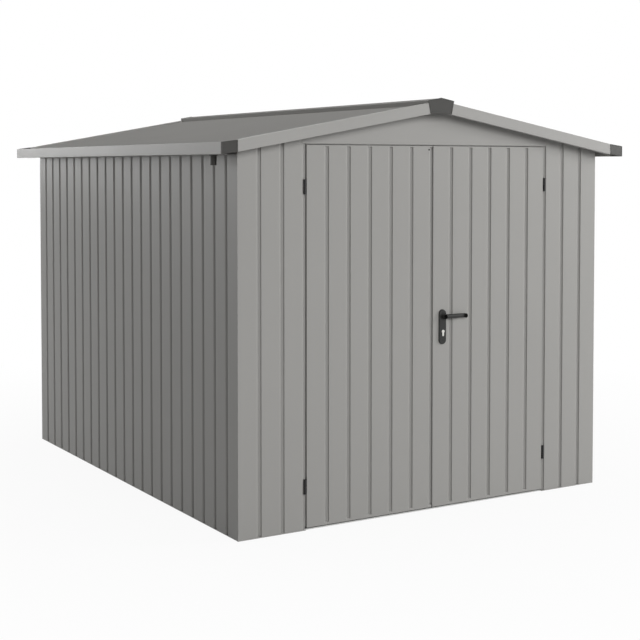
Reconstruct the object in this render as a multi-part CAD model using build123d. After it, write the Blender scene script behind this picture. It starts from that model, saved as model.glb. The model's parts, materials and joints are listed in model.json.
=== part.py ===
from build123d import *
import os
from math import atan, degrees, sqrt

# Metal storage shed with a low gable roof and a pair of doors, in millimetres.
# It stands on z = 0 with its plan centred on the origin and its doors facing -Y.

# Ribbed wall sheet
pitch = 125.0              # from groove to groove
corner_pan = 115.0         # from the last groove's middle to the wall's corner
leaf_pan_count = 6         # pitches across one door leaf
front_pan_count = 2        # pitches of wall beside the doorway, before the corner pan
side_pan_count = 10        # pitches from the middle of a side wall to its last groove
groove_mouth = 21.0
groove_floor = 12.0
groove_depth = 9.0
sheet = 0.8
wall_foot = 6.0            # bottom edge of the wall sheets above the ground
eave_height = 1819.0       # top edge of the side walls

# Base rails, posts and door frame
rail_height = 40.0
rail_flange = 50.0
rail_sheet = 1.5
sill_lip = 6.0             # folded front edge of the rail in the doorway
anchor_radius = 5.0
anchor_inset = 30.0        # from the rail's web to the anchor holes
anchor_from_end = 250.0    # from the rail's end to its anchor hole
post_leg = 40.0
post_sheet = 1.5
frame_depth = 30.0
frame_sheet = 1.5
jamb_width = 55.0
jamb_stop = 12.0           # how far the jamb stands behind the leaf's edge
header_height = 50.0
header_stop = 18.0         # how far the header hangs behind the leaf's top

# Door leaves
door_gap = 5.0             # between a leaf and what surrounds it
stop_gap = 5.0             # between a leaf's back and the door frame
leaf_foot = 12.0
leaf_over_eave = 49.0      # top of the leaves above the side walls' top edge
leaf_depth = 30.0
leaf_lip = 18.0            # folded rim round the back of a leaf
groove_top_margin = 13.0   # flat strip over the grooves of a leaf
groove_foot_margin = 11.0
stiffener_height = 60.0
stiffener_sheet = 1.2
stiffener_end_share = 0.16 # of the leaf's height, from its ends to the outer stiffeners
stiffener_under_lock = 20.0

# Hinges
hinge_inset = 202.0        # from a leaf's end to the middle of its hinge
hinge_length = 72.0
knuckle_radius = 6.5
pin_radius = 3.0
pin_clearance = 0.05
knuckle_gap = 0.3
knuckle_sink = 1.0         # pin axis behind the wall's outer face
strap_sheet = 2.0
strap_short = 2.0          # the leaf's straps end this far short of its depth
pin_cap = 4.0              # closed end of the upper knuckle

# Lock and lever
backset = 57.5             # from the leaf's edge to the lever's axis
lever_height = 994.0
cylinder_drop = 77.0       # from the lever's axis down to the lock cylinder
plate_width = 44.0
plate_height = 179.0
plate_over_lever = 36.0    # top of the plate above the lever's axis
plate_thick = 9.0
plate_edge = 3.0
lock_box_width = 82.0
lock_box_height = 196.0
lock_box_sheet = 1.5
spindle_side = 8.0
collar_radius = 10.0
collar_clearance = 0.05
collar_proud = 4.0
lever_radius = 10.5
lever_side_count = 8       # flat sides round the lever's bar
lever_bend = 16.0
lever_proud = 51.0         # middle of the outer grip in front of the wall
inner_lever_proud = 47.0   # middle of the inner grip behind the lock box
lever_reach = 130.0        # from the axis to the middle of the grip's returned end
lever_return = 34.0        # from the grip back towards the door
lever_hole_radius = 12.0
barrel_radius = 8.5        # round part of the lock cylinder
barrel_fin_width = 10.0
barrel_fin_drop = 19.5     # from the barrel's axis to the middle of the fin's round foot
barrel_proud = 3.0
barrel_clearance = 0.2

# Roof, gutters and their caps
roof_slope_share = 0.18
roof_over_eave = 65.3      # roof surface above the eave height, at the wall's plane
verge_overhang = 82.0
eave_overhang = 124.0
gutter_seat = 25.0         # how far the gutter reaches in over the wall
gutter_height = 57.0
gutter_sheet = 1.0
gutter_lip = 10.0
roof_edge_inset = 44.0     # from the gutter's outer face to the roof sheet's edge
verge_height = 57.0
verge_rise = 9.6           # top of the verge above the roof sheet
verge_rim = 22.0           # width of the verge's top and bottom folds
verge_sheet = 1.0
cap_width = 85.5           # corner cap seen from the front
cap_thick = 6.0
cap_proud = 3.0            # in front of the verge's face
ridge_half_width = 80.0
ridge_rise = 22.0          # ridge strip's peak above the roof sheets
ridge_sheet = 1.0
ridge_cap_peak = 24.0      # end cap's peak above the roof sheets
ridge_cap_foot = 58.0      # end cap's foot below the roof sheets' peak
ridge_cap_foot_half = 66.0
verge_under_cap = 40.0     # the verge starts this far from the middle, behind the end cap
ridge_beam_width = 40.0
ridge_beam_height = 60.0
ridge_beam_sheet = 2.0
spout_radius = 15.0
spout_wall = 2.0
spout_length = 50.0
spout_from_front = 127.0   # behind the front wall
spout_from_wall = 60.0     # out from the side wall

# Sizes that follow
overrun = 10.0             # cuts run past the metal by this much
half_width = (leaf_pan_count + front_pan_count) * pitch + corner_pan
half_depth = side_pan_count * pitch + corner_pan
door_edge = leaf_pan_count * pitch       # middle of the groove beside the doors
leaf_edge = door_edge - groove_mouth / 2
frame_edge = leaf_edge + door_gap
right_meeting = groove_mouth / 2
left_meeting = door_gap - right_meeting  # seen as the right leaf's mirror image
front = -half_depth
groove_run = (groove_mouth - groove_floor) / 2
groove_back = groove_depth + sheet
leaf_top = eave_height + leaf_over_eave
gable_foot = leaf_top + door_gap
stop_face = front + leaf_depth + stop_gap
frame_back = stop_face + frame_depth
header_foot = leaf_top - header_stop
lever_x = right_meeting + backset
box_back = front + leaf_depth - sheet
plate_top = lever_height + plate_over_lever
plate_middle = plate_top - plate_height / 2
lock_foot = plate_middle - lock_box_height / 2
barrel_z = lever_height - cylinder_drop
barrel_reach = plate_thick + barrel_proud
roof_peak = eave_height + roof_over_eave + roof_slope_share * half_width
roof_half_width = half_width + eave_overhang
roof_end = half_depth + verge_overhang
verge_face = roof_end - cap_proud
sheet_end = roof_end - cap_thick
gutter_back = half_width - gutter_seat
gutter_top = eave_height + gutter_height
cap_inner = roof_half_width - cap_width
verge_foot = verge_rise - verge_height


def roof_z(x):
    """Height of the roof sheets' upper face."""
    return roof_peak - roof_slope_share * abs(x)


def offset_path(path, distance, closed):
    """Points at a distance to the left of a path, with mitred corners."""
    points = [Vector(*point) for point in path]
    if closed:
        points = [points[-1]] + points + [points[0]]
    normals = []
    for a, b in zip(points, points[1:]):
        along = (b - a).normalized()
        normals.append(Vector(-along.Y, along.X))
    moved = []
    for i, point in enumerate(points):
        before = normals[max(i - 1, 0)]
        after = normals[min(i, len(normals) - 1)]
        mitre = (before + after) / (1 + before.dot(after))
        moved.append(point + mitre * distance)
    if closed:
        moved = moved[1:-1]
    return [(point.X, point.Y) for point in moved]


def folded(path, thickness):
    """Outline of a folded sheet whose outer face follows a path, with the metal on its left."""
    return list(path) + offset_path(path, thickness, False)[::-1]


def upright(outline, low, high):
    """Solid that stands on a plan outline of (x, y) points."""
    face = make_face(Polyline(*[(x, y, low) for x, y in outline], close=True))
    return extrude(face, amount=high - low, dir=(0, 0, 1))


def lengthwise(outline, start, end):
    """Solid that runs along Y from an outline of (x, z) points."""
    face = make_face(Polyline(*[(x, start, z) for x, z in outline], close=True))
    return extrude(face, amount=end - start, dir=(0, 1, 0))


def crosswise(outline, start, end):
    """Solid that runs along X from an outline of (y, z) points."""
    face = make_face(Polyline(*[(start, y, z) for y, z in outline], close=True))
    return extrude(face, amount=end - start, dir=(1, 0, 0))


def block(low, high):
    """Box between two corners."""
    size = [b - a for a, b in zip(low, high)]
    return Pos(*low) * Box(*size, align=(Align.MIN, Align.MIN, Align.MIN))


def bore(x, z, radius, start, end):
    """Round bar or cutter along Y."""
    return Pos(x, start, z) * Rot(-90, 0, 0) * Cylinder(
        radius, end - start, align=(Align.CENTER, Align.CENTER, Align.MIN))


def mirrored(part):
    """The same piece on the other side of the middle plane."""
    return mirror(part, Plane.YZ)


def both(part):
    """A piece and its mirror image, left and right."""
    return Compound([mirrored(part), part])


def ends(part):
    """A piece and its mirror image, front and back."""
    return Compound([part, mirror(part, Plane.XZ)])


def left_half_groove(middle, face):
    """Path from a pan down to a groove's middle."""
    return [(middle - groove_mouth / 2, face), (middle - groove_floor / 2, face + groove_depth)]


def right_half_groove(middle, face):
    """Path from a groove's middle up to the next pan."""
    return [(middle + groove_floor / 2, face + groove_depth), (middle + groove_mouth / 2, face)]


def ribs(first, last, face):
    """Path through whole grooves, counted in pitches from the wall's middle."""
    path = []
    for step in range(first, last + 1):
        path += left_half_groove(step * pitch, face)
        path += right_half_groove(step * pitch, face)
    return path


def wall_path(first, last, face, start=None, end=None):
    """Path of a ribbed panel. An end that isn't given lies in the middle of the next groove."""
    if start is None:
        seam = (first - 1) * pitch
        head = [(seam, face + groove_depth)] + right_half_groove(seam, face)
    else:
        head = [(start, face)]
    if end is None:
        seam = (last + 1) * pitch
        tail = left_half_groove(seam, face) + [(seam, face + groove_depth)]
    else:
        tail = [(end, face)]
    return head + ribs(first, last, face) + tail


def under_roof():
    """Room under the roof sheets, inside the gutters, for the gable walls' upper edges."""
    low = roof_z(gutter_back) - sheet
    outline = [
        (-half_width, 0), (half_width, 0), (half_width, eave_height), (gutter_back, eave_height),
        (gutter_back, low), (0, roof_peak - sheet), (-gutter_back, low),
        (-gutter_back, eave_height), (-half_width, eave_height),
    ]
    return lengthwise(outline, -half_depth, half_depth)


def front_wall_left():
    """Ribbed panel from the corner to the doorway, its last groove folded back to the jamb."""
    groove_count = front_pan_count + leaf_pan_count
    path = wall_path(-groove_count, -leaf_pan_count - 1, front, start=-half_width)[:-3]
    path += left_half_groove(-door_edge, front)
    path += [(-frame_edge, front + groove_depth), (-frame_edge, stop_face)]
    panel = upright(folded(path, sheet), wall_foot, roof_peak) & under_roof()
    gable = block((-door_edge - groove_mouth / 2, front - overrun, gable_foot),
                  (door_edge, stop_face + overrun, roof_peak + overrun))
    return panel - gable


def front_gable():
    """Smooth panel over the doors, folded in along its foot to meet the header."""
    side = door_edge + groove_mouth / 2
    outline = [(-side, gable_foot), (side, gable_foot), (side, roof_peak), (-side, roof_peak)]
    panel = lengthwise(outline, front, front + sheet) & under_roof()
    return panel + block((-side, front, gable_foot), (side, stop_face, gable_foot + sheet))


def back_wall(first, last, start=None, end=None):
    """Ribbed panel of the back wall, up to the roof."""
    panel = upright(folded(wall_path(first, last, front, start, end), sheet), wall_foot, roof_peak)
    return Rot(0, 0, 180) * (panel & under_roof())


def side_wall(turn, first, last, start=None, end=None):
    """Ribbed panel of a side wall, between the front and back sheets."""
    path = wall_path(first, last, -half_width, start, end)
    return Rot(0, 0, turn) * upright(folded(path, sheet), wall_foot, eave_height)


def corner_posts():
    """Angle posts in the four corners, against the corner pans."""
    x = half_width - sheet
    y = -half_depth + sheet
    path = [(x - post_leg, y), (x, y), (x, y + post_leg)]
    post = upright(folded(path, post_sheet), 0, eave_height)
    return Compound([both(post), mirror(both(post), Plane.XZ)])


def side_rail():
    """Angle rail behind the foot of the right wall, with holes for ground anchors."""
    web = half_width - groove_back
    outline = [(web, 0), (web, rail_height), (web - rail_sheet, rail_height),
               (web - rail_sheet, rail_sheet), (web - rail_flange, rail_sheet), (web - rail_flange, 0)]
    end = half_depth - groove_back
    rail = lengthwise(outline, -end, end)
    for y in (-end + anchor_from_end, end - anchor_from_end):
        rail -= Pos(web - anchor_inset, y, 0) * Cylinder(anchor_radius, overrun)
    return rail


def back_rail():
    """Angle rail behind the foot of the back wall, between the side rails."""
    web = half_depth - groove_back
    outline = [(web, 0), (web, rail_height), (web - rail_sheet, rail_height),
               (web - rail_sheet, rail_sheet), (web - rail_flange, rail_sheet), (web - rail_flange, 0)]
    end = half_width - groove_back
    return crosswise(outline, -end, end) - both(side_rail())


def front_rail():
    """Angle rail under the front wall, cut down to a low sill in the doorway."""
    rail = mirror(back_rail(), Plane.XZ)
    sill = frame_edge + sheet
    return rail - block((-sill, front, sill_lip), (sill, stop_face, rail_height + overrun))


def door_jamb():
    """Channel beside the right leaf, standing on the front rail."""
    inner = leaf_edge - jamb_stop
    outer = inner + jamb_width
    path = [(outer, frame_back), (outer, stop_face), (inner, stop_face), (inner, frame_back)]
    return upright(folded(path, -frame_sheet), rail_sheet, header_foot)


def door_header():
    """Channel over the doorway, on top of the jambs."""
    side = leaf_edge - jamb_stop + jamb_width
    top = header_foot + header_height
    path = [(frame_back, top), (stop_face, top), (stop_face, header_foot), (frame_back, header_foot)]
    return crosswise(folded(path, frame_sheet), -side, side)


def pressed_groove(x, widening, depth):
    """Tapered block of one groove of a leaf, as its hollow or as the metal round it."""
    low = leaf_foot + groove_foot_margin
    high = leaf_top - groove_top_margin
    plane = Plane((x, front, (low + high) / 2), x_dir=(1, 0, 0), z_dir=(0, 1, 0))
    mouth = plane * Rectangle(groove_mouth + 2 * widening, high - low + 2 * widening)
    return extrude(mouth, amount=depth, taper=degrees(atan(groove_run / groove_depth)))


def door_skin(meeting, first_groove):
    """Folded tray of a leaf from its meeting edge to its hinges: pressed grooves and a rim at the back."""
    low = (meeting, front, leaf_foot)
    high = (leaf_edge, front + leaf_depth, leaf_top)
    leaf = block(low, high)
    tray = leaf - block([v + sheet for v in low], [v - sheet for v in high])
    tray -= block((low[0] + leaf_lip, front + groove_back, leaf_foot + leaf_lip),
                  (high[0] - leaf_lip, front + leaf_depth + overrun, leaf_top - leaf_lip))
    slant = sheet * sqrt(1 + (groove_run / groove_depth) ** 2)
    for step in range(first_groove, leaf_pan_count):
        tray += pressed_groove(step * pitch, slant, groove_back) & leaf
        tray -= pressed_groove(step * pitch, 0, groove_depth)
    return tray


def door_stiffeners(meeting):
    """Channels across the back of a leaf, behind its grooves."""
    web = front + groove_back
    back = box_back
    inset = stiffener_end_share * (leaf_top - leaf_foot)
    under_lock = lock_foot - stiffener_under_lock - stiffener_height / 2
    rails = []
    for middle in (leaf_foot + inset, under_lock, leaf_top - inset):
        low = middle - stiffener_height / 2
        high = middle + stiffener_height / 2
        path = [(back, high), (web, high), (web, low), (back, low)]
        rails.append(crosswise(folded(path, stiffener_sheet), meeting + sheet, leaf_edge - sheet))
    return Compound(rails)


def barrel_outline(clearance):
    """Face of the lock cylinder: a round with a fin under it."""
    plane = Plane((lever_x, front, barrel_z), x_dir=(1, 0, 0), z_dir=(0, -1, 0))
    fin_radius = barrel_fin_width / 2 + clearance
    fin = Pos(0, -barrel_fin_drop / 2) * Rectangle(2 * fin_radius, barrel_fin_drop)
    fin += Pos(0, -barrel_fin_drop) * Circle(fin_radius)
    return plane * (Circle(barrel_radius + clearance) + fin)


def barrel_solid(clearance, start, end):
    """Lock cylinder, or the hole for it, between two places along Y."""
    face = Pos(0, start - front, 0) * barrel_outline(clearance)
    return extrude(face, amount=end - start, dir=(0, 1, 0))


def lock_hole(radius):
    """Cutter for the lever's collar and the lock cylinder, right through the leaf."""
    start = front - plate_thick - overrun
    end = box_back + plate_thick + overrun
    return bore(lever_x, lever_height, radius, start, end) + barrel_solid(barrel_clearance, start, end)


def lock_box():
    """Cover of the lock, open towards the skin, against the leaf's meeting edge."""
    inner = right_meeting + sheet
    low = (inner, front + groove_back, lock_foot)
    high = (inner + lock_box_width, box_back, lock_foot + lock_box_height)
    room_low = (low[0] + lock_box_sheet, low[1], low[2] + lock_box_sheet)
    case = block(low, high) - block(room_low, [v - lock_box_sheet for v in high])
    return case - lock_hole(lever_hole_radius)


def handle_plate(seat, outward):
    """Long plate with round ends and a chamfered outer edge; outward is -1 or 1 along Y."""
    plane = Plane((lever_x, seat, plate_middle), x_dir=(1, 0, 0), z_dir=(0, outward, 0))
    plate = extrude(plane * SlotOverall(plate_height, plate_width, rotation=90), amount=plate_thick)
    rim = plate.faces().sort_by(Axis.Y)[0 if outward < 0 else -1].edges()
    return chamfer(rim, plate_edge) - lock_hole(collar_radius + collar_clearance)


def lever(seat, outward, proud):
    """Lever with its collar in the plate: a bar bent towards the hinges and back to the door."""
    face = seat + outward * plate_thick
    grip = seat + outward * proud
    tip_x = lever_x + lever_reach
    path = FilletPolyline((lever_x, face, lever_height), (lever_x, grip, lever_height),
                          (tip_x, grip, lever_height), (tip_x, grip - outward * lever_return, lever_height),
                          radius=lever_bend)
    section = Plane(path @ 0, z_dir=path % 0) * RegularPolygon(lever_radius, lever_side_count)
    bar = sweep(section, path=path)
    near, far = sorted((seat, face + outward * collar_proud))
    return bar + bore(lever_x, lever_height, collar_radius, near, far)


def lever_outer():
    """Outer lever with the square spindle that reaches the inner one."""
    half = spindle_side / 2
    spindle = block((lever_x - half, front, lever_height - half),
                    (lever_x + half, box_back, lever_height + half))
    return lever(front, -1, lever_proud) + spindle


def hinge_places():
    """Heights of the two hinges of a leaf."""
    return leaf_foot + hinge_inset, leaf_top - hinge_inset


def knuckle(low, high, z):
    """Round knuckle on the right leaf's pin axis, between heights about z."""
    length = high - low
    return Pos(door_edge, front + knuckle_sink, z + low) * Cylinder(
        knuckle_radius, length, align=(Align.CENTER, Align.CENTER, Align.MIN))


def hinge_strap(low, high, z):
    """Strap of the right leaf's hinge, from the pin axis back along the leaf's edge."""
    start = front + knuckle_sink
    bridge = block((leaf_edge, start, z + low), (door_edge, start + strap_sheet, z + high))
    return bridge + block((leaf_edge, start, z + low),
                          (leaf_edge + strap_sheet, front + leaf_depth - strap_short, z + high))


def hinge_foot(low, high, z):
    """Foot of the right leaf's hinge, on the floor of the groove beside the door."""
    floor = front + groove_depth
    return block((frame_edge, floor - strap_sheet, z + low),
                 (door_edge + groove_floor / 2, floor, z + high))


def hinge_jamb_sides():
    """Lower halves of the right leaf's hinges, with their pins, in the groove of the wall."""
    halves = []
    half = hinge_length / 2
    for z in hinge_places():
        pin = Pos(door_edge, front + knuckle_sink, z) * Cylinder(
            pin_radius, half - pin_cap, align=(Align.CENTER, Align.CENTER, Align.MIN))
        lower = knuckle(-half, 0, z) + hinge_foot(-half, 0, z)
        halves.append(lower + pin)
    return Compound(halves)


def hinge_leaf_sides():
    """Upper halves of the right leaf's hinges, on the leaf's edge."""
    halves = []
    half = hinge_length / 2
    for z in hinge_places():
        upper = knuckle(knuckle_gap, half, z) + hinge_strap(knuckle_gap, half, z)
        hole = Pos(door_edge, front + knuckle_sink, z) * Cylinder(
            pin_radius + pin_clearance, half - pin_cap + knuckle_gap,
            align=(Align.CENTER, Align.CENTER, Align.MIN))
        halves.append(upper - hole)
    return Compound(halves)


def gutter():
    """Box gutter on the right wall's top edge, closed at the gables; its back carries the roof sheet."""
    back_top = roof_z(gutter_back) - sheet - roof_slope_share * gutter_sheet
    path = [(gutter_back, back_top), (gutter_back, eave_height), (roof_half_width, eave_height),
            (roof_half_width, gutter_top), (roof_half_width - gutter_lip, gutter_top)]
    trough = lengthwise(folded(path, gutter_sheet), -sheet_end, sheet_end)
    edge = roof_half_width - roof_edge_inset
    outline = [
        (gutter_back, eave_height), (roof_half_width, eave_height), (roof_half_width, gutter_top),
        (edge, gutter_top), (edge, roof_z(edge) - sheet), (gutter_back, roof_z(gutter_back) - sheet),
    ]
    plate = lengthwise(outline, front, front + gutter_sheet)
    trough += plate
    trough += mirror(plate, Plane.XZ)
    drain = Pos(half_width + spout_from_wall, front + spout_from_front, eave_height)
    return trough - drain * Cylinder(spout_radius - spout_wall, overrun)


def gutter_spouts():
    """Short round outlets under the gutters, near the front."""
    place = Pos(half_width + spout_from_wall, front + spout_from_front, eave_height - spout_length / 2)
    tube = Cylinder(spout_radius, spout_length) - Cylinder(spout_radius - spout_wall, spout_length)
    return both(place * tube)


def slope_bar(inner, outer, low, high, start, end):
    """Bar that follows the right roof slope, between heights above the roof sheet."""
    outline = [(inner, roof_z(inner) + low), (outer, roof_z(outer) + low),
               (outer, roof_z(outer) + high), (inner, roof_z(inner) + high)]
    return lengthwise(outline, start, end)


def roof_sheet():
    """Smooth sheet of the right roof slope, from the ridge into the gutter."""
    return slope_bar(0, roof_half_width - roof_edge_inset, -sheet, 0, -sheet_end, sheet_end)


def verge():
    """Folded fascia along the front of the right roof slope."""
    face_back = -verge_face + verge_sheet
    rim_end = -verge_face + verge_rim
    fold_start = ridge_half_width + verge_sheet
    face = slope_bar(verge_under_cap, cap_inner, verge_foot, verge_rise, -verge_face, face_back)
    foot = slope_bar(verge_under_cap, gutter_back - gutter_sheet, verge_foot, verge_foot + verge_sheet,
                     -verge_face, rim_end)
    top = slope_bar(fold_start, cap_inner, verge_rise - verge_sheet, verge_rise, -verge_face, rim_end)
    drop = slope_bar(fold_start, cap_inner, 0, verge_rise, rim_end - verge_sheet, rim_end)
    return face + foot + top + drop


def corner_cap():
    """Moulded cap over the front end of the right gutter, in line with the verge."""
    outline = [
        (cap_inner, roof_z(cap_inner) + verge_foot), (roof_half_width, eave_height),
        (roof_half_width, gutter_top), (cap_inner, roof_z(cap_inner) + verge_rise),
    ]
    return lengthwise(outline, -roof_end, -sheet_end)


def corner_caps():
    """The caps at the four corners of the roof."""
    return Compound([ends(corner_cap()), mirrored(ends(corner_cap()))])


def ridge_cap():
    """Raised strip along the ridge, its side lips standing on the roof sheets."""
    end = verge_face - verge_sheet
    top = slope_bar(0, ridge_half_width, ridge_rise - ridge_sheet, ridge_rise, -end, end)
    lip = slope_bar(ridge_half_width - ridge_sheet, ridge_half_width, 0, ridge_rise, -end, end)
    side = top + lip
    return side + mirrored(side)


def ridge_end_caps():
    """Moulded plates over the meeting of the verges, at both ends of the ridge."""
    shoulder = roof_z(ridge_half_width) + ridge_cap_peak
    foot = roof_peak - ridge_cap_foot
    outline = [(0, roof_peak + ridge_cap_peak), (ridge_half_width, shoulder), (ridge_cap_foot_half, foot),
               (-ridge_cap_foot_half, foot), (-ridge_half_width, shoulder)]
    return ends(lengthwise(outline, -roof_end, -verge_face))


def ridge_beam():
    """Channel under the ridge, from gable to gable."""
    half = ridge_beam_width / 2
    low = roof_peak - sheet - ridge_beam_height
    top = roof_z(half) - sheet
    outer = [(-half, low), (half, low), (half, top), (0, roof_peak - sheet), (-half, top)]
    inner = offset_path(outer, ridge_beam_sheet, True)
    start = front + sheet
    end = half_depth - groove_back
    return lengthwise(outer, start, end) - lengthwise(inner, start, end)


left_skin = mirrored(door_skin(left_meeting, 0))
right_skin = door_skin(right_meeting, 1) - lock_hole(lever_hole_radius)
seam = front_pan_count + 1
last_groove = leaf_pan_count + front_pan_count
side_end = half_depth - sheet

nodes = {
    "base_rail_front": front_rail(),
    "base_rail_back": back_rail(),
    "base_rail_left": mirrored(side_rail()),
    "base_rail_right": side_rail(),
    "corner_posts": corner_posts(),
    "front_wall_left": front_wall_left(),
    "front_wall_right": mirrored(front_wall_left()),
    "front_gable": front_gable(),
    "back_wall_left": back_wall(seam + 1, last_groove, end=half_width),
    "back_wall_middle": back_wall(-seam + 1, seam - 1),
    "back_wall_right": back_wall(-last_groove, -seam - 1, start=-half_width),
    "left_wall_front": side_wall(-90, 1, side_pan_count, end=side_end),
    "left_wall_back": side_wall(-90, -side_pan_count, -1, start=-side_end),
    "right_wall_front": side_wall(90, -side_pan_count, -1, start=-side_end),
    "right_wall_back": side_wall(90, 1, side_pan_count, end=side_end),
    "door_jamb_left": mirrored(door_jamb()),
    "door_jamb_right": door_jamb(),
    "door_header": door_header(),
    "left_door_skin": left_skin,
    "left_door_stiffeners": mirrored(door_stiffeners(left_meeting)),
    "right_door_skin": right_skin,
    "right_door_stiffeners": door_stiffeners(right_meeting),
    "lock_box": lock_box(),
    "handle_plate_outer": handle_plate(front, -1),
    "handle_plate_inner": handle_plate(box_back, 1),
    "lock_cylinder": barrel_solid(0, front - barrel_reach, box_back + barrel_reach),
    "lever_outer": lever_outer(),
    "lever_inner": lever(box_back, 1, inner_lever_proud),
    "left_hinge_jamb_sides": mirrored(hinge_jamb_sides()),
    "left_hinge_leaf_sides": mirrored(hinge_leaf_sides()),
    "right_hinge_jamb_sides": hinge_jamb_sides(),
    "right_hinge_leaf_sides": hinge_leaf_sides(),
    "gutter_left": mirrored(gutter()),
    "gutter_right": gutter(),
    "gutter_spouts": gutter_spouts(),
    "roof_sheet_left": mirrored(roof_sheet()),
    "roof_sheet_right": roof_sheet(),
    "verge_front": both(verge()),
    "verge_back": mirror(both(verge()), Plane.XZ),
    "corner_caps": corner_caps(),
    "ridge_cap": ridge_cap(),
    "ridge_end_caps": ridge_end_caps(),
    "ridge_beam": ridge_beam(),
}

os.makedirs("parts", exist_ok=True)
for name, part in nodes.items():
    export_step(part, f"parts/{name}.step")
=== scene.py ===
import json
from math import pi, radians

import bmesh
import bpy
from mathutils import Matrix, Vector


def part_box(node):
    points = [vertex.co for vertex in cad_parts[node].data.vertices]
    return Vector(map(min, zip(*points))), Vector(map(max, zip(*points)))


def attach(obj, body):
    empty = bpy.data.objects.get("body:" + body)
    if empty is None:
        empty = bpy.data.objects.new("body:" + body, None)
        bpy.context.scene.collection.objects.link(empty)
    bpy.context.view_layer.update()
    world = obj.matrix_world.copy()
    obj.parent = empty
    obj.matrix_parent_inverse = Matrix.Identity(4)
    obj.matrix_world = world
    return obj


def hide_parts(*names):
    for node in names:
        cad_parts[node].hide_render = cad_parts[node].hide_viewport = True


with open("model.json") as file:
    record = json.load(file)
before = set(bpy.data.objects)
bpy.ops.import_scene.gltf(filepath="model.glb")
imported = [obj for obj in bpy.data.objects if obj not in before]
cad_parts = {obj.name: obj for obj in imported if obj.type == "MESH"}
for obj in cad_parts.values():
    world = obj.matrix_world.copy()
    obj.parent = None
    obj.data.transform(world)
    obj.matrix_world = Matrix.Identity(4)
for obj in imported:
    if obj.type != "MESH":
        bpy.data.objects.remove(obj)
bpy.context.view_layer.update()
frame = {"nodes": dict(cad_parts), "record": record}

# Ribbed metal shed with a pair of doors, in metres, standing on z = 0 with its doors facing -Y.

# Bends and edges
WELD = 0.00002             # corners closer than this are one
FOLD_BEND = 0.0018         # from a fold's sharp line to the start of its bend
RAIL_BEND = 0.003
BASE_BEND = 0.001
FOLD_ANGLE = radians(15)   # a sharper turn is a fold
SHEET_EDGE = 0.0026        # faces narrower than this are the cut edges of a sheet
CORNER_ANGLE = radians(40) # a sharper turn on a moulded piece is an edge
SMOOTH_ANGLE = radians(38)
FLAT_ANGLE = radians(0.5)  # faces that turn less are one
BEND_STEPS = 3
EDGE_STEPS = 2

# Camera, solved from the photograph
CAMERA_PLACE = (-3.9403, -6.7602, 1.7607)
CAMERA_TURN = radians(31.259)    # to the right of straight ahead
CAMERA_DIP = radians(2.216)
CAMERA_SENSOR = 36.0             # its width in millimetres
CAMERA_LENS = 73.502             # in millimetres
CAMERA_SHIFT = -0.16             # in widths of the sensor


class Value:
    """A shader socket that takes part in Python sums."""

    def __init__(self, network, socket):
        self.network = network
        self.socket = socket

    def sum(self, operation, a, b):
        return self.network.node("ShaderNodeMath", {"operation": operation}, {0: a, 1: b})

    def either(self, other):
        return self.sum("MAXIMUM", self, other)

    def between(self, low, high):
        """A pattern from 0 to 1 as a range of values."""
        return low + self * (high - low)

    def __add__(self, other):
        return self.sum("ADD", self, other)

    def __radd__(self, other):
        return self.sum("ADD", other, self)

    def __sub__(self, other):
        return self.sum("SUBTRACT", self, other)

    def __rsub__(self, other):
        return self.sum("SUBTRACT", other, self)

    def __mul__(self, other):
        return self.sum("MULTIPLY", self, other)

    def __rmul__(self, other):
        return self.sum("MULTIPLY", other, self)


class Network:
    """The nodes of a finish or of the world."""

    def __init__(self, tree):
        self.tree = tree

    def feed(self, socket, value):
        if isinstance(value, Value):
            self.tree.links.new(value.socket, socket)
        else:
            socket.default_value = value

    def node(self, kind, settings=None, inputs=None, output=0):
        """Adds a node with its settings and its sockets' values or links."""
        made = self.tree.nodes.new(kind)
        for key, value in (settings or {}).items():
            setattr(made, key, value)
        for key, value in (inputs or {}).items():
            self.feed(made.inputs[key], value)
        return Value(self, made.outputs[output])

    def seen_background(self):
        """1 on rays that show the background itself: camera, mirror and glass rays."""
        rays = ("Is Camera Ray", "Is Glossy Ray", "Is Transmission Ray")
        camera, mirror, glass = (self.node("ShaderNodeLightPath", output=ray) for ray in rays)
        return camera.either(mirror).either(glass)

    def blend(self, factor, shader, other, end):
        """Leads a blend of two shaders to the end node of that name."""
        blended = self.node("ShaderNodeMixShader", None, {0: factor, 1: shader, 2: other})
        self.feed(self.tree.nodes[end].inputs["Surface"], blended)


class Finish(Network):
    """One material, built node by node on Object coordinates."""

    def __init__(self, name):
        self.material = bpy.data.materials.new(name)
        self.material.use_nodes = True
        super().__init__(self.material.node_tree)
        self.shader = self.tree.nodes["Principled BSDF"]
        self.place = self.node("ShaderNodeTexCoord", output="Object")

    def noise(self, scale, detail=3.0, place=None):
        """Cloudy pattern between 0 and 1, scale in patches a metre."""
        return self.node("ShaderNodeTexNoise", None,
                         {"Vector": place or self.place, "Scale": scale, "Detail": detail})

    def stretched(self, x, y, z):
        """Object coordinates times a scale along each axis."""
        return self.node("ShaderNodeMapping", None, {"Vector": self.place, "Scale": (x, y, z)})

    def tones(self, pattern, colour, dark, light):
        """A colour between two shares of itself, as a pattern goes."""
        return self.node("ShaderNodeMix", {"data_type": "RGBA"},
                         {0: pattern, 6: shade(colour, dark), 7: shade(colour, light)}, output=2)

    def bump(self, height, strength, distance):
        return self.node("ShaderNodeBump", None,
                         {"Height": height, "Strength": strength, "Distance": distance}, output="Normal")

    def set(self, **sockets):
        for key, value in sockets.items():
            self.feed(self.shader.inputs[key.replace("_", " ")], value)


def shade(colour, share):
    """A colour made lighter or darker by a share."""
    return tuple(channel * share for channel in colour) + (1.0,)


# Finishes

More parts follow.
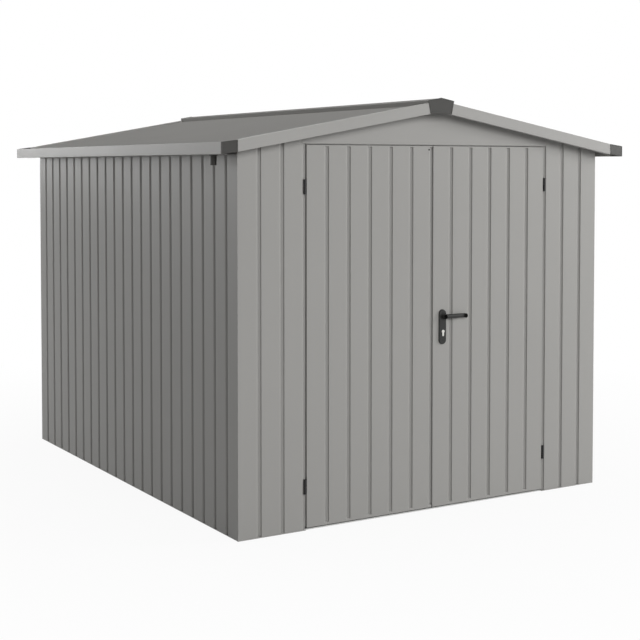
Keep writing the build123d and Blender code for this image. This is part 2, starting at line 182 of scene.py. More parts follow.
WALL_GREY = (0.330, 0.325, 0.313)
ROOF_GREY = (0.310, 0.305, 0.294)
TRIM_GREY = (0.345, 0.340, 0.328)
ZINC_GREY = (0.52, 0.52, 0.51)
CAP_BLACK = (0.038, 0.037, 0.034)
HANDLE_BLACK = (0.020, 0.020, 0.019)
NICKEL = (0.66, 0.65, 0.62)
HINGE_BLACK = (0.018, 0.018, 0.018)


def stoved_paint(name, colour, roughness, gloss):
    """Satin paint on sheet steel: faint clouds, orange peel and a little unevenness of gloss."""
    paint = Finish(name)
    clouds = paint.noise(scale=1.6, detail=2.0)
    specks = paint.noise(scale=420.0, detail=2.0)
    patches = paint.noise(scale=3.5)
    peel = paint.noise(scale=260.0, detail=1.0)
    paint.set(Base_Color=paint.tones(clouds * 0.75 + specks * 0.25, colour, dark=0.965, light=1.035),
              Roughness=patches.between(roughness - 0.04, roughness + 0.04),
              Normal=paint.bump(peel, strength=0.05, distance=0.0006),
              Specular_IOR_Level=gloss)
    return paint.material


def galvanised_steel(name):
    """Zinc coat with its crystals, each a shade lighter or darker."""
    zinc = Finish(name)
    crystals = zinc.node("ShaderNodeTexVoronoi", {"feature": "F1"},
                         {"Vector": zinc.place, "Scale": 85.0, "Randomness": 1.0}, output="Color")
    grey = zinc.node("ShaderNodeRGBToBW", None, {0: crystals})
    clouds = zinc.noise(scale=30.0)
    zinc.set(Base_Color=zinc.tones(grey * 0.7 + clouds * 0.3, ZINC_GREY, dark=0.84, light=1.12),
             Roughness=grey.between(0.36, 0.50),
             Normal=zinc.bump(grey, strength=0.03, distance=0.0004),
             Metallic=0.75)
    return zinc.material


def moulded_plastic(name, colour, roughness, gloss, grain):
    """Moulded plastic or a dark coat with a fine eroded grain."""
    plastic = Finish(name)
    pits = plastic.noise(scale=grain, detail=4.0)
    clouds = plastic.noise(scale=9.0, detail=2.0)
    plastic.set(Base_Color=plastic.tones(clouds, colour, dark=0.88, light=1.12),
                Roughness=pits.between(roughness - 0.05, roughness + 0.05),
                Normal=plastic.bump(pits, strength=0.18, distance=0.0003),
                Specular_IOR_Level=gloss)
    return plastic.material


def brushed_nickel(name):
    """Nickel plate brushed along its length."""
    nickel = Finish(name)
    lines = nickel.noise(scale=60.0, place=nickel.stretched(40.0, 40.0, 1.0))
    nickel.set(Base_Color=nickel.tones(lines, NICKEL, dark=0.90, light=1.06),
               Roughness=lines.between(0.26, 0.40),
               Normal=nickel.bump(lines, strength=0.05, distance=0.0002),
               Metallic=1.0)
    return nickel.material


FINISHES = {
    "wall_paint": stoved_paint("wall_paint_satin", WALL_GREY, roughness=0.34, gloss=0.10),
    "roof_paint": stoved_paint("roof_paint_matt", ROOF_GREY, roughness=0.60, gloss=0.0),
    "trim_paint": stoved_paint("trim_paint_satin", TRIM_GREY, roughness=0.36, gloss=0.12),
    "frame_steel": galvanised_steel("galvanised_steel"),
    "cap_plastic": moulded_plastic("cap_plastic_anthracite", CAP_BLACK, 0.45, gloss=0.30, grain=900.0),
    "handle_black": moulded_plastic("handle_plastic_black", HANDLE_BLACK, 0.38, gloss=0.30, grain=1400.0),
    "lock_metal": brushed_nickel("lock_nickel"),
    "hinge_dark": moulded_plastic("hinge_coat_black", HINGE_BLACK, 0.48, gloss=0.20, grain=1200.0),
}
SLOT_OF = {part["node"]: part["material_slot"] for part in frame["record"]["subparts"]}
BODY_OF = {node: body for body, nodes in frame["record"]["behaviour"]["bodies"].items() for node in nodes}


# Modelling helpers

def pick_only(piece):
    """The piece alone is selected and active, in object mode."""
    bpy.ops.object.select_all(action="DESELECT")
    piece.select_set(True)
    bpy.context.view_layer.objects.active = piece


def start_edit(piece):
    pick_only(piece)
    bpy.ops.object.mode_set(mode="EDIT")
    return bmesh.from_edit_mesh(piece.data)


def end_edit():
    bpy.ops.object.mode_set(mode="OBJECT")


def select_edges(piece, wanted):
    """In edit mode, selects the edges that a test picks and says how many."""
    mesh = bmesh.from_edit_mesh(piece.data)
    bpy.ops.mesh.select_all(action="DESELECT")
    bpy.ops.mesh.select_mode(type="EDGE")
    count = 0
    for edge in mesh.edges:
        if wanted(edge):
            edge.select_set(True)
            count += 1
    bmesh.update_edit_mesh(piece.data)
    return count


def select_faces(piece, wanted):
    mesh = bmesh.from_edit_mesh(piece.data)
    bpy.ops.mesh.select_all(action="DESELECT")
    bpy.ops.mesh.select_mode(type="FACE")
    for face in mesh.faces:
        if wanted(face):
            face.select_set(True)
    bmesh.update_edit_mesh(piece.data)


def face_width(face):
    """Area over half the outline, so that a sheet's long cut edge counts as narrow."""
    return 2.0 * face.calc_area() / face.calc_perimeter()


def is_fold(edge):
    """A sharp line between two broad faces, so not the cut edge of a sheet."""
    if len(edge.link_faces) != 2 or edge.calc_face_angle() < FOLD_ANGLE:
        return False
    return all(face_width(face) > SHEET_EDGE for face in edge.link_faces)


def is_corner(edge):
    """An edge of a moulded piece, so not one of the flats round a curve."""
    return len(edge.link_faces) == 2 and edge.calc_face_angle() > CORNER_ANGLE


def soften(piece, wanted, width, steps=BEND_STEPS):
    """Rounds the edges that a test picks."""
    if select_edges(piece, wanted):
        bpy.ops.mesh.bevel(offset_type="OFFSET", offset=width, segments=steps, profile=0.5,
                           affect="EDGES", clamp_overlap=False)


def finish_piece(piece, slot, body, replaced=()):
    """Smooth shading, finish, and the body that the piece rides on."""
    pick_only(piece)
    bpy.ops.object.shade_smooth_by_angle(angle=SMOOTH_ANGLE)
    even = piece.modifiers.new("even_shading", "WEIGHTED_NORMAL")
    even.keep_sharp = True
    bpy.ops.object.modifier_apply(modifier=even.name)
    piece.data.materials.clear()
    piece.data.materials.append(FINISHES[slot])
    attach(piece, body)
    if replaced:
        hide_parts(*replaced)
    return piece


def welded_copy(node, name):
    """Copy of a node's mesh with its triangles joined into whole faces."""
    piece = bpy.data.objects.new(name, frame["nodes"][node].data.copy())
    bpy.context.scene.collection.objects.link(piece)
    pick_only(piece)
    bpy.ops.mesh.customdata_custom_splitnormals_clear()
    start_edit(piece)
    bpy.ops.mesh.select_all(action="SELECT")
    bpy.ops.mesh.remove_doubles(threshold=WELD)
    bpy.ops.mesh.dissolve_limited(angle_limit=FLAT_ANGLE)
    return piece


def move_corners(piece, wanted, step):
    """In edit mode, moves the corners that a test picks."""
    mesh = bmesh.from_edit_mesh(piece.data)
    bpy.ops.mesh.select_all(action="DESELECT")
    bpy.ops.mesh.select_mode(type="VERT")
    for corner in mesh.verts:
        corner.select_set(wanted(corner.co))
    bpy.ops.transform.translate(value=step)


def bent_sheet(node, name, bend, reshape=None):
    """A folded sheet whose folds are bends with a radius."""
    piece = welded_copy(node, name)
    if reshape:
        reshape(piece)
    soften(piece, is_fold, bend)
    end_edit()
    return finish_piece(piece, SLOT_OF[node], BODY_OF[node], [node])


def open_new(name):
    """The primitive just added, with its place in its mesh, in edit mode and selected all over."""
    piece = bpy.context.active_object
    piece.name = name
    bpy.ops.object.transform_apply(location=True, rotation=True, scale=True)
    start_edit(piece)
    bpy.ops.mesh.select_all(action="SELECT")
    return piece


def add_round(name, radius, place, turn=(0.0, 0.0, 0.0), sides=24, filled=True):
    """Flat round at its place, in edit mode and selected all over."""
    bpy.ops.object.select_all(action="DESELECT")
    bpy.ops.mesh.primitive_circle_add(vertices=sides, radius=radius, location=place, rotation=turn,
                                      fill_type="NGON" if filled else "NOTHING")
    return open_new(name)


def add_block(name, low, high):
    """Block between two corners, in edit mode and selected all over."""
    bpy.ops.object.select_all(action="DESELECT")
    middle = [(a + b) / 2 for a, b in zip(low, high)]
    bpy.ops.mesh.primitive_cube_add(size=1.0, location=middle, scale=[b - a for a, b in zip(low, high)])
    return open_new(name)


def push(x=0.0, y=0.0, z=0.0):
    """Extrudes what is selected."""
    bpy.ops.mesh.extrude_region_move(TRANSFORM_OT_translate={"value": (x, y, z)})


def widen(share, middle):
    """Extrudes what is selected and sizes it about a point."""
    push()
    bpy.ops.transform.resize(value=(share, share, share), center_override=middle)


def close_up(piece):
    """Merges doubles, turns the faces outwards and leaves edit mode."""
    bpy.ops.mesh.select_all(action="SELECT")
    bpy.ops.mesh.remove_doubles(threshold=WELD)
    bpy.ops.mesh.normals_make_consistent(inside=False)
    if bmesh.from_edit_mesh(piece.data).calc_volume(signed=True) < 0:
        bpy.ops.mesh.flip_normals()
    end_edit()


def add_strip(name, low, high):
    """Flat strip between two corners of one height, in edit mode."""
    bpy.ops.object.select_all(action="DESELECT")
    middle = [(a + b) / 2 for a, b in zip(low, high)]
    bpy.ops.mesh.primitive_plane_add(size=1.0, location=middle)
    bpy.ops.transform.resize(value=(abs(high[0] - low[0]), abs(high[1] - low[1]), 1.0))
    return open_new(name)


def fold_on(piece, axis, place, *turns):
    """Extrudes the strip's edge at a place along an axis through a row of folds."""
    select_edges(piece, lambda edge: all(abs(corner.co[axis] - place) < WELD for corner in edge.verts))
    for turn in turns:
        push(*turn)


def thicken(piece, thickness, bend):
    """Gives a folded strip its thickness on its upper and inner side, and bends its folds."""
    bpy.ops.mesh.select_all(action="SELECT")
    bpy.ops.mesh.normals_make_consistent(inside=False)
    faces = bmesh.from_edit_mesh(piece.data).faces
    upper = max(faces, key=lambda face: face.calc_area() * abs(face.normal.z))
    if upper.normal.z < 0:
        bpy.ops.mesh.flip_normals()
    end_edit()
    wall = piece.modifiers.new("thickness", "SOLIDIFY")
    wall.thickness = thickness
    wall.offset = 1.0
    wall.use_even_offset = True
    pick_only(piece)
    bpy.ops.object.modifier_apply(modifier=wall.name)
    start_edit(piece)
    soften(piece, is_fold, bend)
    end_edit()


def cut_out(piece, cutter):
    """Takes another piece's shape out of a piece."""
    cut = piece.modifiers.new("cut_out", "BOOLEAN")
    cut.operation = "DIFFERENCE"
    cut.object = cutter
    pick_only(piece)
    bpy.ops.object.modifier_apply(modifier=cut.name)
    bpy.data.objects.remove(cutter)


def copy_of(piece, name, step):
    """Copy of a new piece with its own mesh, a step away."""
    twin = bpy.data.objects.new(name, piece.data.copy())
    bpy.context.scene.collection.objects.link(twin)
    start_edit(twin)
    bpy.ops.mesh.select_all(action="SELECT")
    bpy.ops.transform.translate(value=step)
    end_edit()
    return twin


# Folded sheets

BASE_SHEETS = ["base_rail_front", "base_rail_back", "base_rail_left", "base_rail_right"]
FRAME_SHEETS = [
    "corner_posts", "door_jamb_left", "door_jamb_right", "door_header", "left_door_stiffeners",
    "right_door_stiffeners", "ridge_beam", "lock_box",
]

FRONT = -1.365             # outer face of the front wall and doors
SHEET = 0.0008
GUTTER_SHEET = 0.001
HALF_WIDTH = 1.115
EAVE = 1.819               # top edge of the side walls
ROOF_PEAK = 2.0850
ROOF_SLOPE = 0.18
GUTTER_BACK = 1.090        # the strip on the wall's top edge starts here
GUTTER_INNER = 1.1535      # inner side of the trough, in line with the corner caps
GUTTER_OUTER = 1.239
GUTTER_HEIGHT = 0.057
GUTTER_LIP = 0.010
GUTTER_END = 1.441
SIDE_END = 1.3642          # ends of the side walls
VERGE_FOOT_END = 1.089


def roof_under(x):
    """Height of the roof sheets' lower face."""
    return ROOF_PEAK - ROOF_SLOPE * abs(x) - SHEET


def raise_corner(piece):
    """Takes a gable panel's upper corner up to the roof."""
    way = 1.0 if piece.data.vertices[0].co.x > 0 else -1.0
    middle = (HALF_WIDTH + GUTTER_BACK) / 2
    for start, end in ((GUTTER_BACK, middle), (HALF_WIDTH, HALF_WIDTH)):
        corner = Vector((way * start, EAVE))
        move_corners(piece, lambda place: (place.xz - corner).length < WELD,
                     (way * (end - start), 0.0, roof_under(end) - EAVE))


def lengthen_foot(piece):
    """Takes the fold along a verge's foot out to the gutter."""
    run = GUTTER_INNER - VERGE_FOOT_END
    for way in (-1.0, 1.0):
        move_corners(piece, lambda place: abs(way * place.x - VERGE_FOOT_END) < WELD,
                     (way * run, 0.0, -ROOF_SLOPE * run))


PITCH = 0.125              # from groove to groove
SIDE_GROOVES = 10          # last groove from the middle of a side wall
END_GROOVES = 8            # of the front and back walls
DOOR_GROOVES = 5           # of the doors
MIDDLE_GROOVES = 3         # of the back wall's middle panel
# How far a groove's folds move to the left as seen from outside, so that its left flank is a long ramp and
# its right one a steep step
RAMP_MOUTH = 0.0050
RAMP_FOOT = -0.0050
STEP_FOOT = -0.0042
# Each of these folds lies between two distances to the left of the groove's middle
GROOVE_FOLDS = (
    (0.0103, 0.0112, RAMP_MOUTH),
    (0.0058, 0.0067, RAMP_FOOT),
    (-0.0067, -0.0058, STEP_FOOT),
)
GABLE_EDGE = 0.760         # the gable's outer edges lie beyond this
GROOVE_TOPS = (1.840, 1.860)     # the doors' grooves end between these heights
GROOVE_TOP_RISE = 0.007
SKIN_DEPTH = 0.011         # of the ribbed part of a door skin


def slope_grooves(piece, axis, left, grooves):
    """Gives each groove a ramp on its left and a step on its right; left is 1 or -1 along the axis."""
    step = [0.0, 0.0, 0.0]
    for low, high, move in GROOVE_FOLDS:
        step[axis] = left * move
        move_corners(piece, lambda place: any(low < left * (place[axis] - groove * PITCH) < high
                                              for groove in grooves), step)


def grooves_about(last):
    """Numbers of the grooves on both sides of a wall's middle."""
    return range(-last, last + 1)


def widen_gable(piece):
    """Takes the gable's left edge out to the ramp beside the doors."""
    move_corners(piece, lambda place: place.x < -GABLE_EDGE, (-RAMP_MOUTH, 0.0, 0.0))


def end_panel(piece, left):
    slope_grooves(piece, 0, left, grooves_about(END_GROOVES))
    raise_corner(piece)


def middle_panel(piece, left):
    slope_grooves(piece, 0, left, grooves_about(MIDDLE_GROOVES))


def side_panel(piece, left):
    slope_grooves(piece, 1, left, grooves_about(SIDE_GROOVES))


def raise_groove_tops(piece):
    """The doors' grooves end closer under the leaf's top edge than in the solids."""
    low, high = GROOVE_TOPS
    move_corners(piece, lambda place: low < place.z < high and place.y < FRONT + SKIN_DEPTH,
                 (0.0, 0.0, GROOVE_TOP_RISE))


def left_leaf(piece):
    slope_grooves(piece, 0, -1.0, range(-DOOR_GROOVES, 1))
    raise_groove_tops(piece)


def right_leaf(piece):
    slope_grooves(piece, 0, -1.0, range(1, DOOR_GROOVES + 1))
    raise_groove_tops(piece)


SHEETS = {
    "front_wall_left": lambda piece: end_panel(piece, -1.0),
    "front_wall_right": lambda piece: end_panel(piece, -1.0),
    "front_gable": widen_gable,
    "back_wall_left": lambda piece: end_panel(piece, 1.0),
    "back_wall_middle": lambda piece: middle_panel(piece, 1.0),
    "back_wall_right": lambda piece: end_panel(piece, 1.0),
    "left_wall_front": lambda piece: side_panel(piece, 1.0),
    "left_wall_back": lambda piece: side_panel(piece, 1.0),
    "right_wall_front": lambda piece: side_panel(piece, -1.0),
    "right_wall_back": lambda piece: side_panel(piece, -1.0),
    "left_door_skin": left_leaf,
    "right_door_skin": right_leaf,
    "verge_front": lengthen_foot,
    "verge_back": lengthen_foot,
    "ridge_cap": None,
}
for node, reshape in SHEETS.items():
    bent_sheet(node, node + "_sheet", FOLD_BEND, reshape)
for node in FRAME_SHEETS:
    bent_sheet(node, node + "_folded", RAIL_BEND)
for node in BASE_SHEETS:
    bent_sheet(node, node + "_folded", BASE_BEND)


# Gutters

SPOUT_PLACES = {"left": (-1.175, -1.238, EAVE), "right": (1.175, -1.238, EAVE)}
SPOUT_RADIUS = 0.015
DRAIN_RADIUS = 0.013


def gutter(side, way):
    """Trough outside a side wall, and the strip under the roof that hangs it from the wall's top edge."""
    trough = add_strip(f"gutter_{side}_trough", (way * GUTTER_INNER, -GUTTER_END, EAVE),
                       (way * GUTTER_OUTER, GUTTER_END, EAVE))
    fold_on(trough, 0, way * GUTTER_INNER, (0.0, 0.0, roof_under(GUTTER_INNER) - EAVE))
    fold_on(trough, 0, way * GUTTER_OUTER, (0.0, 0.0, GUTTER_HEIGHT), (-way * GUTTER_LIP, 0.0, 0.0))
    thicken(trough, GUTTER_SHEET, FOLD_BEND)
    drain = add_round("drain", DRAIN_RADIUS, SPOUT_PLACES[side])
    bpy.ops.transform.translate(value=(0.0, 0.0, -GUTTER_SHEET))
    push(z=3 * GUTTER_SHEET)
    close_up(drain)
    cut_out(trough, drain)
    finish_piece(trough, "trim_paint", "shell", ["gutter_" + side])
    strip = add_strip(f"eave_strip_{side}", (way * GUTTER_BACK, -SIDE_END, EAVE),
                      (way * HALF_WIDTH, SIDE_END, EAVE))
    rise = roof_under(HALF_WIDTH) - GUTTER_SHEET - EAVE
    run = GUTTER_INNER - HALF_WIDTH
    fold_on(strip, 0, way * HALF_WIDTH, (0.0, 0.0, rise), (way * run, 0.0, -ROOF_SLOPE * run))
    thicken(strip, GUTTER_SHEET, FOLD_BEND)
    finish_piece(strip, "trim_paint", "shell")


gutter("left", -1.0)
gutter("right", 1.0)


# Lip of the base rails along the feet of the walls

DOORWAY = 0.7445           # half of it
LIP_HEIGHT = 0.0055
RAIL_DEPTH = 0.0098        # from the wall's outer face to the rail
LIP_SHEET = 0.001


def foot_lip(name, low, high, axis):
    """Strip under a wall from its outer face inwards along an axis, turned up along that face."""
    piece = add_strip(name, (*low, 0.0), (*high, 0.0))
    fold_on(piece, axis, low[axis], (0.0, 0.0, LIP_HEIGHT))
    thicken(piece, LIP_SHEET, LIP_SHEET)
    finish_piece(piece, "trim_paint", "shell")


foot_lip("foot_lip_front_left", (-HALF_WIDTH, FRONT), (-DOORWAY, FRONT + RAIL_DEPTH), 1)
foot_lip("foot_lip_front_right", (DOORWAY, FRONT), (HALF_WIDTH, FRONT + RAIL_DEPTH), 1)
foot_lip("foot_lip_back", (-HALF_WIDTH, -FRONT), (HALF_WIDTH, -FRONT - RAIL_DEPTH), 1)
for way, side in ((-1.0, "left"), (1.0, "right")):
    x = way * HALF_WIDTH
    foot_lip("foot_lip_" + side, (x, -SIDE_END), (x - way * RAIL_DEPTH, SIDE_END), 0)


# Fittings

LOCK_BACK = -1.3358        # back of the lock box
FACING_FRONT = (pi / 2, 0.0, 0.0)

LEVER_X = 0.068
LEVER_Z = 0.994
LEVER_RADIUS = 0.0105
LEVER_OVAL = 1.09          # height of the bar to its depth
COLLAR_RADIUS = 0.0100
LEVER_SIDES = 24
LEVER_REACH = 0.130        # from the axis to the middle of the returned end
LEVER_RETURN = 0.034
LEVER_BEND = 0.016
LEVER_END = 0.0035         # rounding of the bar's end
LEVER_END_STEPS = 4
OUTER_PROUD = 0.051        # middle of the grip from the plate's seat
INNER_PROUD = 0.047
BEND_TURNS = 8             # steps round a bend of the bar

PLATE_WIDTH = 0.044
PLATE_HEIGHT = 0.179
PLATE_THICK = 0.009
PLATE_MIDDLE = 0.9405
PLATE_EDGE = 0.0032
PLATE_EDGE_STEPS = 5
PLATE_SIDES = 64
SCREW_RADIUS = 0.0042
SCREW_HEIGHTS = (0.8715, 1.0135)
SCREW_SUNK = 0.0010        # how deep in the plate the head starts
SCREW_HEAD = 0.0014        # length of the head
# Width and rise of the head's rim, face and socket
SCREW_INSETS = ((0.0007, 0.0003), (0.0014, 0.0), (0.0004, -0.0012))

BARREL_Z = 0.917
BARREL_PROUD = 0.003
PLUG_RADIUS = 0.0056
PLUG_PROUD = 0.0006
PLUG_SUNK = 0.002          # how deep in the cylinder the plug starts
PLUG_RIM = (0.0005, 0.0002)      # width and rise
KEY_SLOT = (0.0014, 0.003, 0.0076)
METAL_EDGE = 0.0006        # taken off the lock cylinder and the hinges


def quarter_turn(way, middle):
    """Carries a ring of the bar round a bend in the level plane."""
    bpy.ops.mesh.spin(steps=BEND_TURNS, angle=way * pi / 2, center=middle, axis=(0.0, 0.0, 1.0))


def softened(node, name, width):
    """A moulded or machined piece with its edges taken off."""
    piece = welded_copy(node, name)
    soften(piece, is_corner, width, EDGE_STEPS)
    end_edit()
    return finish_piece(piece, SLOT_OF[node], BODY_OF[node], [node])


def bent_lever(node, seat, outward, proud):
    """Round bar out of its plate, along the door and back towards it."""
    grip = seat + outward * proud
    bend_y = grip - outward * LEVER_BEND
    piece = add_round(node + "_bar", COLLAR_RADIUS, (LEVER_X, seat, LEVER_Z), FACING_FRONT,
                      sides=LEVER_SIDES, filled=False)
    push(y=outward * PLATE_THICK)
    widen(LEVER_RADIUS / COLLAR_RADIUS, (LEVER_X, seat + outward * PLATE_THICK, LEVER_Z))
    push(y=outward * (proud - PLATE_THICK - LEVER_BEND))
    quarter_turn(-outward, (LEVER_X + LEVER_BEND, bend_y, LEVER_Z))
    push(x=LEVER_REACH - 2 * LEVER_BEND)
    quarter_turn(-outward, (LEVER_X + LEVER_REACH - LEVER_BEND, bend_y, LEVER_Z))
    push(y=-outward * (LEVER_RETURN - LEVER_BEND))
    bpy.ops.mesh.edge_face_add()
    bpy.ops.mesh.bevel(offset=LEVER_END, segments=LEVER_END_STEPS, affect="EDGES")
    select_edges(piece, lambda edge: edge.is_boundary)
    bpy.ops.mesh.edge_face_add()
    bpy.ops.mesh.select_all(action="SELECT")
    bpy.ops.transform.resize(value=(1.0, 1.0, LEVER_OVAL), center_override=(LEVER_X, seat, LEVER_Z))
    close_up(piece)
    return finish_piece(piece, SLOT_OF[node], BODY_OF[node], [node])


def handle_plate(node, seat, outward):
    """Long plate with round ends and a rounded outer edge."""
    piece = add_round(node + "_moulded", PLATE_WIDTH / 2, (LEVER_X, seat, PLATE_MIDDLE), FACING_FRONT,
                      sides=PLATE_SIDES)
    for way in (-1, 1):
        move_corners(piece, lambda place: way * (place.z - PLATE_MIDDLE) > WELD,
                     (0.0, 0.0, way * (PLATE_HEIGHT - PLATE_WIDTH) / 2))
    bpy.ops.mesh.select_all(action="SELECT")
    push(y=outward * PLATE_THICK)
    face_y = seat + outward * PLATE_THICK
    select_edges(piece, lambda edge: all(abs(corner.co.y - face_y) < WELD for corner in edge.verts))
    bpy.ops.mesh.bevel(offset=PLATE_EDGE, segments=PLATE_EDGE_STEPS, affect="EDGES")
    close_up(piece)
    return finish_piece(piece, SLOT_OF[node], BODY_OF[node], [node])


def plate_screws(side, seat, outward):
    """Dished screw heads with a round socket, flush in a plate."""
    lower, upper = SCREW_HEIGHTS
    head_y = seat + outward * (PLATE_THICK - SCREW_SUNK)
    screw = add_round(f"plate_screw_{side}_0", SCREW_RADIUS, (LEVER_X, head_y, lower), FACING_FRONT)
    push(y=outward * SCREW_HEAD)
    for width, rise in SCREW_INSETS:
        bpy.ops.mesh.inset(thickness=width, depth=rise)
    close_up(screw)
    twin = copy_of(screw, f"plate_screw_{side}_1", (0.0, 0.0, upper - lower))
    for piece in (screw, twin):
        finish_piece(piece, "hinge_dark", "right_leaf")


def lock_plug(name, face_y, outward):
    """Turning plug in the face of the lock cylinder, cut for the key."""
    piece = add_round(name, PLUG_RADIUS, (LEVER_X, face_y - outward * PLUG_SUNK, BARREL_Z), FACING_FRONT)
    push(y=outward * (PLUG_SUNK + PLUG_PROUD))
    bpy.ops.mesh.inset(thickness=PLUG_RIM[0], depth=PLUG_RIM[1])
    close_up(piece)
    slot_low = (LEVER_X - KEY_SLOT[0] / 2, face_y - KEY_SLOT[1] / 2, BARREL_Z - KEY_SLOT[2] / 2)
    cutter = add_block("key_slot", slot_low, [a + b for a, b in zip(slot_low, KEY_SLOT)])
    end_edit()
    cut_out(piece, cutter)
    return finish_piece(piece, "lock_metal", "right_leaf")


bent_lever("lever_outer", FRONT, -1, OUTER_PROUD)
bent_lever("lever_inner", LOCK_BACK, 1, INNER_PROUD)
for node, side, seat, outward in (("handle_plate_outer", "outer", FRONT, -1),
                                  ("handle_plate_inner", "inner", LOCK_BACK, 1)):
    handle_plate(node, seat, outward)
    plate_screws(side, seat, outward)
    lock_plug("lock_plug_" + side, seat + outward * (PLATE_THICK + BARREL_PROUD), outward)
softened("lock_cylinder", "lock_cylinder_body", METAL_EDGE)

for side in ("left", "right"):
    for half in ("jamb", "leaf"):
        node = f"{side}_hinge_{half}_sides"
        softened(node, node + "_softened", METAL_EDGE)


# Plastic caps, spouts and plug

CAP_RIM = 0.004
CAP_STEP = 0.0010
CAP_EDGE = 0.0012
SPOUT_EDGE = 0.0007


def rimmed_caps(node, name):
    """Moulded end plates whose outer faces lie a step back inside a rim."""
    piece = welded_copy(node, name)
    soften(piece, is_corner, CAP_EDGE, EDGE_STEPS)
    ends = (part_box(node)[0][1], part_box(node)[1][1])
    select_faces(piece, lambda face: min(abs(face.calc_center_median().y - end) for end in ends) < WELD)
    bpy.ops.mesh.inset(thickness=CAP_RIM, depth=0.0, use_individual=True)
    bpy.ops.mesh.inset(thickness=CAP_STEP, depth=-CAP_STEP, use_individual=True)
    end_edit()
    return finish_piece(piece, SLOT_OF[node], BODY_OF[node], [node])


rimmed_caps("corner_caps", "corner_caps_moulded")
rimmed_caps("ridge_end_caps", "ridge_end_caps_moulded")
softened("gutter_spouts", "gutter_spouts_softened", SPOUT_EDGE)

FLANGE_SHARE = 1.45        # of the spout's radius
NECK_SHARE = 1.15
FLANGE_THICK = 0.002
NECK_DROP = 0.004          # from the flange to the neck's foot
FLANGE_SIDES = 32


def spout_flanges():
    """Collars round the heads of the spouts, against the gutters' undersides."""
    place = SPOUT_PLACES["left"]
    flange = add_round("spout_flange_left", SPOUT_RADIUS, place, sides=FLANGE_SIDES, filled=False)
    widen(FLANGE_SHARE, place)
    push(z=-FLANGE_THICK)
    widen(NECK_SHARE / FLANGE_SHARE, place)
    bpy.ops.transform.translate(value=(0.0, 0.0, -NECK_DROP))
    widen(1 / NECK_SHARE, place)
    select_edges(flange, lambda edge: edge.is_boundary)
    bpy.ops.mesh.bridge_edge_loops()
    close_up(flange)
    twin = copy_of(flange, "spout_flange_right", Vector(SPOUT_PLACES["right"]) - Vector(place))
    for piece in (flange, twin):
        finish_piece(piece, "cap_plastic", "shell")


spout_flanges()


LEAF_PLUG_RADIUS = 0.005
LEAF_PLUG_SUNK = 0.005     # how deep in the leaf the plug starts
LEAF_PLUG_PLACE = (-0.0165, FRONT + LEAF_PLUG_SUNK, 1.849)
LEAF_PLUG_LENGTH = 0.006
LEAF_PLUG_DOME = (0.0012, 0.0008)      # width and rise


def leaf_plug():
    """Domed plug in the left leaf's upper corner."""
    piece = add_round("left_leaf_plug", LEAF_PLUG_RADIUS, LEAF_PLUG_PLACE, FACING_FRONT)
    push(y=-LEAF_PLUG_LENGTH)
    bpy.ops.mesh.inset(thickness=LEAF_PLUG_DOME[0], depth=LEAF_PLUG_DOME[1])
    close_up(piece)
    return finish_piece(piece, "cap_plastic", "left_leaf")


leaf_plug()


# Lips along the doors, which close most of the gap round a leaf

LIP_EDGE = 0.0009
LIP_DEPTHS = (FRONT + 0.0092, FRONT + 0.0132)
MEETING_LIP = (0.0050, 0.0088)         # from the middle of the doors
MEETING_LIP_HEIGHTS = (0.030, 1.850)
HINGE_LIP = (0.7422, 0.7450)
HINGE_LIP_HEIGHTS = (0.016, 1.872)
HEADER_LIP = (-0.740, 0.740)
HEADER_LIP_DEPTHS = (FRONT + 0.005, FRONT + 0.009)
HEADER_LIP_HEIGHTS = (1.8702, 1.8735)


def door_lip(name, body, across, depths, heights):
    """Thin bar between two places in each direction."""
    low, high = zip(across, depths, heights)
    piece = add_block(name, low, high)
    soften(piece, is_corner, LIP_EDGE, EDGE_STEPS)
    close_up(piece)
    return finish_piece(piece, "wall_paint", body)


door_lip("meeting_lip", "left_leaf", MEETING_LIP, LIP_DEPTHS, MEETING_LIP_HEIGHTS)
door_lip("hinge_lip_left", "shell", (-HINGE_LIP[1], -HINGE_LIP[0]), LIP_DEPTHS, HINGE_LIP_HEIGHTS)
door_lip("hinge_lip_right", "shell", HINGE_LIP, LIP_DEPTHS, HINGE_LIP_HEIGHTS)
door_lip("header_lip", "shell", HEADER_LIP, HEADER_LIP_DEPTHS, HEADER_LIP_HEIGHTS)


# Finishes of the solids themselves

for node, solid in frame["nodes"].items():
    solid.data.materials.clear()
    solid.data.materials.append(FINISHES[SLOT_OF[node]])


# Floor, light and camera

WHITE = (1.0, 1.0, 1.0, 1.0)
FLOOR_SIZE = 80.0
FLOOR_GREY = (0.60, 0.60, 0.60, 1.0)
FLOOR_ROUGHNESS = 0.9
SHADOW_SHARE = 0.10        # how much of the floor's tone changes with the light, near the shed
SHADOW_REACH = 4.5         # from the shed's middle to where the floor is plain white
WORLD_LIGHT = 0.12


def studio_floor():
    """Pale floor that shows as white, with the shed's shadow near it."""
    bpy.ops.object.select_all(action="DESELECT")
    bpy.ops.mesh.primitive_plane_add(size=FLOOR_SIZE)
    floor = bpy.context.active_object
    floor.name = "studio_floor"
    pale = Finish("pale_floor")
    pale.set(Base_Color=FLOOR_GREY, Roughness=FLOOR_ROUGHNESS, Specular_IOR_Level=0.0)
    reach = 1.0 / SHADOW_REACH
    near = pale.node("ShaderNodeTexGradient", {"gradient_type": "SPHERICAL"},
                     {"Vector": pale.stretched(reach, reach, reach)}, output="Fac")
    lit = Value(pale, pale.shader.outputs[0])
    white = pale.node("ShaderNodeEmission", None, {"Color": WHITE})
    pale.blend(pale.seen_background() * (1.0 - near * SHADOW_SHARE), lit, white, "Material Output")
    floor.data.materials.append(pale.material)


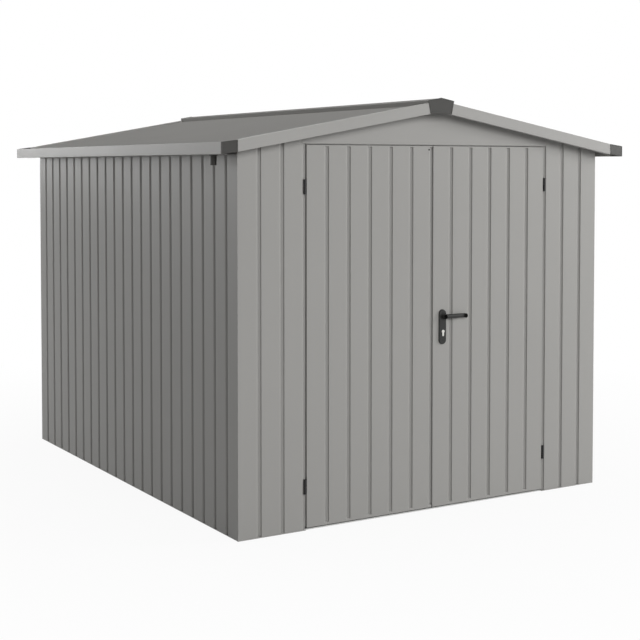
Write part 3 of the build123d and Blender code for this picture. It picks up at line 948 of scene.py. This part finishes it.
def studio_world():
    """Weak even light, in which the background itself is white."""
    world = bpy.data.worlds.new("studio")
    bpy.context.scene.world = world
    world.use_nodes = True
    studio = Network(world.node_tree)
    light = world.node_tree.nodes["Background"]
    studio.feed(light.inputs["Color"], WHITE)
    studio.feed(light.inputs["Strength"], WORLD_LIGHT)
    white = studio.node("ShaderNodeBackground", None, {"Color": WHITE, "Strength": 1.0})
    studio.blend(studio.seen_background(), Value(studio, light.outputs[0]), white, "World Output")


# Softboxes: place, size, and power in watts, all aimed at the middle of the shed
SOFTBOXES = {
    "key": ((-2.1, -14.85, 5.8), 5.5, 1090.0),
    "front_right": ((6.5, -4.6, 3.0), 2.4, 300.0),
    "back_left": ((-3.4, 6.5, 2.9), 2.2, 105.0),
    "left": ((-6.5, 6.0, 2.2), 4.0, 84.0),
    "back_right": ((3.5, 8.5, 3.0), 3.0, 45.0),
    "top": ((0.0, 0.0, 8.0), 5.0, 195.0),
    "back": ((1.8, 14.0, 2.2), 4.0, 300.0),
    "right": ((13.0, 1.0, 2.0), 5.0, 300.0),
}
AIM = (0.0, 0.0, 1.0)


def softbox(name, place, size, power):
    data = bpy.data.lights.new(name, "AREA")
    data.shape = "SQUARE"
    data.size = size
    data.energy = power
    lamp = bpy.data.objects.new(name, data)
    lamp.location = place
    lamp.rotation_euler = (Vector(AIM) - Vector(place)).to_track_quat("-Z", "Y").to_euler()
    bpy.context.scene.collection.objects.link(lamp)


def photo_camera():
    data = bpy.data.cameras.new("photo_camera")
    data.sensor_width = CAMERA_SENSOR
    data.lens = CAMERA_LENS
    data.shift_y = CAMERA_SHIFT
    camera = bpy.data.objects.new("photo_camera", data)
    camera.location = CAMERA_PLACE
    camera.rotation_euler = (pi / 2 - CAMERA_DIP, 0.0, -CAMERA_TURN)
    bpy.context.scene.collection.objects.link(camera)
    bpy.context.scene.camera = camera


studio_floor()
studio_world()
for name, (place, size, power) in SOFTBOXES.items():
    softbox(name, place, size, power)
photo_camera()
bpy.context.scene.view_settings.view_transform = "Standard"
